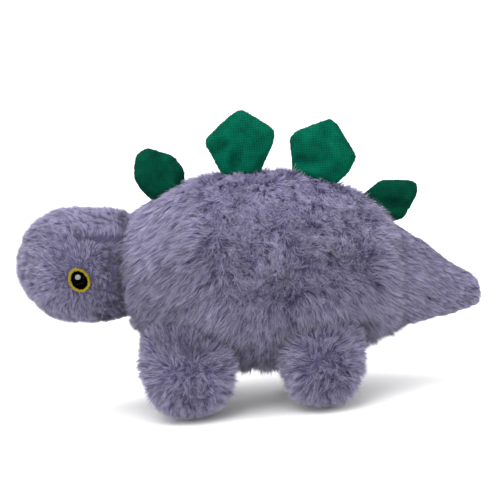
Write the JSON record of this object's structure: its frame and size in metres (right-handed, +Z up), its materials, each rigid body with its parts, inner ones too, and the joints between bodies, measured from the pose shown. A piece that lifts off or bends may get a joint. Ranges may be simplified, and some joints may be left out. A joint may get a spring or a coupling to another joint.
{
  "type": "stuffed dinosaur toy",
  "caption": "Plush dinosaur in lavender fur with green velour back plates, embroidered eyes and stuffed pouch legs that bend at their seams.",
  "frame": {"origin": "centre of the bounding box at its bottom, on the plane the feet stand on", "axes": "+X from the head to the tail, +Y to the toy's own right, +Z up"},
  "size_m": [0.3252, 0.1188, 0.211],
  "materials": {
    "lavender_fur": "long-pile lavender faux fur, combed and tousled",
    "green_velour": "short-nap green knitted velour",
    "yellow_thread": "satin-stitched yellow embroidery thread",
    "black_thread": "satin-stitched black embroidery thread",
    "white_thread": "satin-stitched off-white embroidery thread",
    "eye_backing": "non-woven embroidery backing",
    "sewing_thread": "lavender sewing thread",
    "polyester_fibre": "loose white polyester fibre filling",
    "polyester_wadding": "thin white polyester wadding"
  },
  "bodies": {
    "body": {"body_panel_left": "lavender_fur", "body_panel_right": "lavender_fur", "belly_panel_front": "lavender_fur", "belly_panel_rear": "lavender_fur", "body_stuffing": "polyester_fibre", "closing_stitches": "sewing_thread"},
    "neck": {"neck_stuffing": "polyester_fibre"},
    "head": {"head_panel_left": "lavender_fur", "head_panel_right": "lavender_fur", "head_stuffing": "polyester_fibre", "eye_left_ring": "yellow_thread", "eye_left_pupil": "black_thread", "eye_left_highlight": "white_thread", "eye_left_backing": "eye_backing", "eye_right_ring": "yellow_thread", "eye_right_pupil": "black_thread", "eye_right_highlight": "white_thread", "eye_right_backing": "eye_backing"},
    "tail": {"tail_panel_left": "lavender_fur", "tail_panel_right": "lavender_fur", "tail_stuffing": "polyester_fibre"},
    "front_left_leg": {"front_left_leg_outer": "lavender_fur", "front_left_leg_inner": "lavender_fur", "front_left_leg_stuffing": "polyester_fibre"},
    "front_right_leg": {"front_right_leg_outer": "lavender_fur", "front_right_leg_inner": "lavender_fur", "front_right_leg_stuffing": "polyester_fibre"},
    "rear_left_leg": {"rear_left_leg_outer": "lavender_fur", "rear_left_leg_inner": "lavender_fur", "rear_left_leg_stuffing": "polyester_fibre"},
    "rear_right_leg": {"rear_right_leg_outer": "lavender_fur", "rear_right_leg_inner": "lavender_fur", "rear_right_leg_stuffing": "polyester_fibre"},
    "plate_1": {"plate_1_left_face": "green_velour", "plate_1_right_face": "green_velour", "plate_1_wadding": "polyester_wadding"},
    "plate_2": {"plate_2_left_face": "green_velour", "plate_2_right_face": "green_velour", "plate_2_wadding": "polyester_wadding"},
    "plate_3": {"plate_3_left_face": "green_velour", "plate_3_right_face": "green_velour", "plate_3_wadding": "polyester_wadding"},
    "plate_4": {"plate_4_left_face": "green_velour", "plate_4_right_face": "green_velour", "plate_4_wadding": "polyester_wadding"}
  },
  "joints": [
    {"name": "neck_turn", "type": "hinge", "parent": "body", "child": "neck", "pos_m": [-0.084, 0, 0.10215], "axis": [0, 0, 1], "range_deg": [-18, 18], "stiffness_Nm_per_rad": 0.6},
    {"name": "neck_nod", "type": "hinge", "parent": "neck", "child": "head", "pos_m": [-0.084, 0, 0.10215], "axis": [0, 1, 0], "range_deg": [-14, 14], "stiffness_Nm_per_rad": 0.6},
    {"name": "tail_swish", "type": "hinge", "parent": "body", "child": "tail", "pos_m": [0.112, 0, 0.07906], "axis": [0, 0, 1], "range_deg": [-20, 20], "stiffness_Nm_per_rad": 0.3},
    {"name": "front_left_hip", "type": "hinge", "parent": "body", "child": "front_left_leg", "pos_m": [-0.049, -0.03, 0.04898], "axis": [-0.8616, 0, 0.5077], "range_deg": [-6, 18], "stiffness_Nm_per_rad": 0.6},
    {"name": "front_right_hip", "type": "hinge", "parent": "body", "child": "front_right_leg", "pos_m": [-0.049, 0.03, 0.04898], "axis": [0.8616, 0, -0.5077], "range_deg": [-6, 18], "stiffness_Nm_per_rad": 0.6},
    {"name": "rear_left_hip", "type": "hinge", "parent": "body", "child": "rear_left_leg", "pos_m": [0.045, -0.03, 0.03566], "axis": [-0.9808, 0, -0.1951], "range_deg": [-6, 18], "stiffness_Nm_per_rad": 0.6},
    {"name": "rear_right_hip", "type": "hinge", "parent": "body", "child": "rear_right_leg", "pos_m": [0.045, 0.03, 0.03566], "axis": [0.9808, 0, 0.1951], "range_deg": [-6, 18], "stiffness_Nm_per_rad": 0.6},
    {"name": "plate_1_fold", "type": "hinge", "parent": "body", "child": "plate_1", "pos_m": [-0.054, 0, 0.16029], "axis": [0.9139, 0, 0.406], "range_deg": [-30, 30], "stiffness_Nm_per_rad": 0.02},
    {"name": "plate_2_fold", "type": "hinge", "parent": "body", "child": "plate_2", "pos_m": [0.002, 0, 0.16997], "axis": [0.9999, 0, -0.0161], "range_deg": [-30, 30], "stiffness_Nm_per_rad": 0.02},
    {"name": "plate_3_fold", "type": "hinge", "parent": "body", "child": "plate_3", "pos_m": [0.054, 0, 0.16213], "axis": [0.9391, 0, -0.3436], "range_deg": [-30, 30], "stiffness_Nm_per_rad": 0.02},
    {"name": "plate_4_fold", "type": "hinge", "parent": "body", "child": "plate_4", "pos_m": [0.101, 0, 0.13001], "axis": [0.7338, 0, -0.6794], "range_deg": [-30, 30], "stiffness_Nm_per_rad": 0.02}
  ]
}
